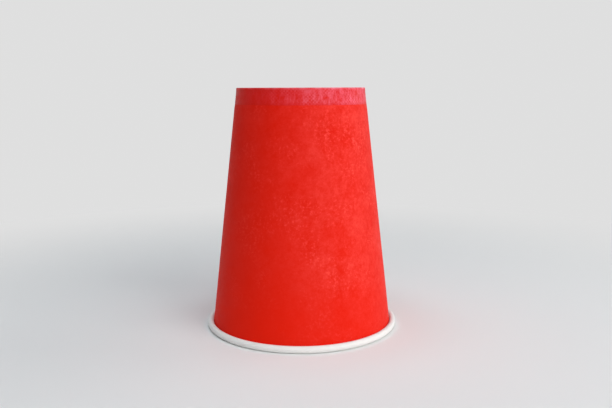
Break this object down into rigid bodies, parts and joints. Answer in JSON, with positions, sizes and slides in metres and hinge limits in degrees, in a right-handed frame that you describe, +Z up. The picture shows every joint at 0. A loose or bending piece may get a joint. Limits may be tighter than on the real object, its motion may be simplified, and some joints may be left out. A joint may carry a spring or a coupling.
{
  "type": "paper cup",
  "caption": "Single-wall paper cup, printed red outside and white inside, with a rolled rim and a recessed bottom, stood mouth down.",
  "frame": {"origin": "centre of the circle on which the rolled rim rests, with the cup stood mouth down as in the picture", "axes": "+Z up the cup's axis, from the mouth to the foot; the side lap lies at +Y"},
  "size_m": [0.09, 0.09, 0.1115],
  "materials": {
    "wall_board": "matt red print outside, white coated board inside and on the rolled rim",
    "base_board": "white board, coated on the drink's side and bare in the foot"
  },
  "bodies": {
    "root": {"side_wall": "wall_board", "bottom_disc": "base_board"}
  },
  "joints": []
}
